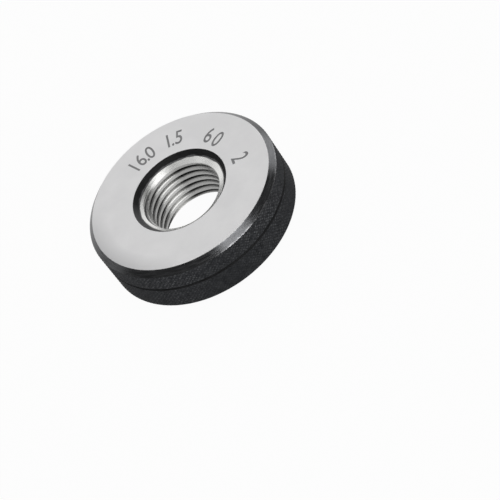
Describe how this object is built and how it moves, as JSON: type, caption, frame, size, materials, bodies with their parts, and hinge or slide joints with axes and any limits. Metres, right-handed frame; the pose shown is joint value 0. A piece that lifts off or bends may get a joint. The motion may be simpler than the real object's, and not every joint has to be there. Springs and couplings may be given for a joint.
{
  "type": "thread ring gauge",
  "caption": "Solid steel NO-GO thread ring gauge: a thick ring with a left-hand threaded bore, a tapered mouth, chamfered rim and a fine marker groove round the knurled rim.",
  "frame": {"origin": "centre of the plain face, on which the ring rests", "axes": "+Z along the thread axis, out of the marked face; +X and +Y lie in the plain face, with -Y towards the viewer and the marks on the +Y side"},
  "size_m": [0.038, 0.038, 0.0107],
  "materials": {
    "gauge_steel": "lapped faces and ground thread; knurled rim, chamfers and recess blackened"
  },
  "bodies": {
    "root": {"gauge_ring": "gauge_steel"}
  },
  "joints": []
}
